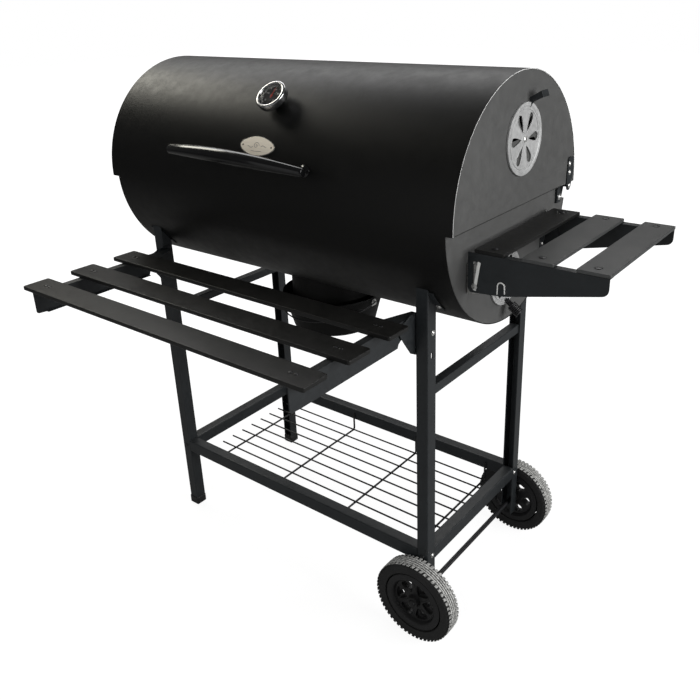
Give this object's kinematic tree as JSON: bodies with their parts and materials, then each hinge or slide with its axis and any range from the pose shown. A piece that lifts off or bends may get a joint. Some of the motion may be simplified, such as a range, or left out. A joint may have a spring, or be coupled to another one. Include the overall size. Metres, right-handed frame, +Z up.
{
  "type": "barrel charcoal grill",
  "caption": "Free-standing horizontal barrel charcoal grill on a wheeled trolley, with hinged lid, vents, folding slatted shelves, wire bottom shelf and hanging ash bucket.",
  "frame": {"origin": "middle of the bounding box footprint, on the floor", "axes": "+X along the drum towards the side shelf and the wheels, -Y the front with the handle and the long shelf, +Z up"},
  "size_m": [1.11, 0.7476, 1.0979],
  "materials": {
    "drum_paint": "satin heat-resistant black paint",
    "frame_paint": "satin black powder coat",
    "slat_paint": "satin black paint",
    "handle_gloss": "glossy black",
    "wire": "black painted wire",
    "cast_iron": "raw cast iron, seasoned",
    "damper_metal": "grey-black painted steel",
    "zinc": "zinc plated",
    "plastic": "matt black moulded",
    "rubber": "black rubber",
    "hub_plastic": "matt black moulded",
    "chrome": "polished chrome",
    "dial": "matt dark dial face",
    "glass": "clear",
    "needle": "red enamel",
    "nameplate": "cream enamel, blank"
  },
  "bodies": {
    "frame": {"bowl_shell": "drum_paint", "bowl_end_right": "drum_paint", "bowl_end_left": "drum_paint", "bowl_hinge_right": "frame_paint", "bowl_hinge_left": "frame_paint", "leg_front_left": "frame_paint", "leg_front_right": "frame_paint", "leg_rear_left": "frame_paint", "leg_rear_right": "frame_paint", "foot_front": "plastic", "foot_rear": "plastic", "rail_front": "frame_paint", "rail_rear": "frame_paint", "rail_left": "frame_paint", "rail_right": "frame_paint", "brace_left": "frame_paint", "brace_right": "frame_paint", "bottom_shelf": "wire", "axle": "zinc", "ash_collar": "drum_paint", "charcoal_grate": "cast_iron", "front_shelf_hinge_left": "frame_paint", "front_shelf_hinge_right": "frame_paint", "side_shelf_hinge_front": "zinc", "side_shelf_hinge_rear": "zinc"},
    "lid": {"lid_shell": "drum_paint", "lid_end_right": "drum_paint", "lid_end_left": "drum_paint", "lid_hinge_right": "frame_paint", "lid_hinge_left": "frame_paint", "lid_handle": "handle_gloss", "handle_post_left": "handle_gloss", "handle_post_right": "handle_gloss", "thermometer_body": "chrome", "thermometer_dial": "dial", "thermometer_glass": "glass", "nameplate": "nameplate", "warming_rack": "wire"},
    "needle": {"thermometer_needle": "needle"},
    "upper_damper": {"upper_damper": "damper_metal"},
    "lower_damper": {"lower_damper": "damper_metal", "damper_spring_grip": "wire"},
    "front_shelf": {"front_slat_outer": "slat_paint", "front_slat_middle": "slat_paint", "front_slat_inner": "slat_paint", "front_bracket_left": "frame_paint", "front_bracket_right": "frame_paint"},
    "side_shelf": {"side_slat_inner": "slat_paint", "side_slat_middle": "slat_paint", "side_slat_outer": "slat_paint", "side_bracket_front": "frame_paint", "side_bracket_rear": "frame_paint"},
    "wheel_front": {"tyre_front": "rubber", "hub_front": "hub_plastic"},
    "wheel_rear": {"tyre_rear": "rubber", "hub_rear": "hub_plastic"},
    "bucket": {"ash_bucket": "drum_paint"},
    "bail": {"bucket_bail": "wire"},
    "cooking_grate_left": {"cooking_grate_left": "cast_iron"},
    "cooking_grate_right": {"cooking_grate_right": "cast_iron"}
  },
  "joints": [
    {"name": "lid_hinge", "type": "hinge", "parent": "frame", "child": "lid", "pos_m": [-0.114, 0.33885, 0.8598], "axis": [-1, 0, 0], "range_deg": [0, 90]},
    {"name": "upper_damper_turn", "type": "hinge", "parent": "lid", "child": "upper_damper", "pos_m": [0.3265, 0.13885, 0.9815], "axis": [1, 0, 0], "range_deg": [-15, 15]},
    {"name": "lower_damper_turn", "type": "hinge", "parent": "frame", "child": "lower_damper", "pos_m": [0.3111, 0.11885, 0.735], "axis": [1, 0, 0], "range_deg": [0, 30]},
    {"name": "thermometer_needle_turn", "type": "hinge", "parent": "lid", "child": "needle", "pos_m": [-0.1028, -0.02902, 1.05144], "axis": [0, -0.6807, 0.7325], "range_deg": [-135, 135]},
    {"name": "front_shelf_fold", "type": "hinge", "parent": "frame", "child": "front_shelf", "pos_m": [-0.114, -0.08315, 0.68], "axis": [1, 0, 0], "range_deg": [0, 90]},
    {"name": "side_shelf_fold", "type": "hinge", "parent": "frame", "child": "side_shelf", "pos_m": [0.326, 0.13885, 0.762], "axis": [0, 1, 0], "range_deg": [0, 90]},
    {"name": "wheel_front_spin", "type": "hinge", "parent": "frame", "child": "wheel_front", "pos_m": [0.243, -0.07265, 0.089], "axis": [0, 1, 0], "continuous": true},
    {"name": "wheel_rear_spin", "type": "hinge", "parent": "frame", "child": "wheel_rear", "pos_m": [0.243, 0.35035, 0.089], "axis": [0, 1, 0], "continuous": true},
    {"name": "bucket_unhook", "type": "slide", "parent": "frame", "child": "bucket", "axis": [0, 0, -1], "range_m": [0, 0.1]},
    {"name": "bail_swing", "type": "hinge", "parent": "bucket", "child": "bail", "pos_m": [-0.122, 0.13885, 0.608], "axis": [-1, 0, 0], "range_deg": [0, 35]},
    {"name": "cooking_grate_left_lift", "type": "slide", "parent": "frame", "child": "cooking_grate_left", "axis": [0, 0, 1], "range_m": [0, 0.06]},
    {"name": "cooking_grate_right_lift", "type": "slide", "parent": "frame", "child": "cooking_grate_right", "axis": [0, 0, 1], "range_m": [0, 0.06]}
  ]
}
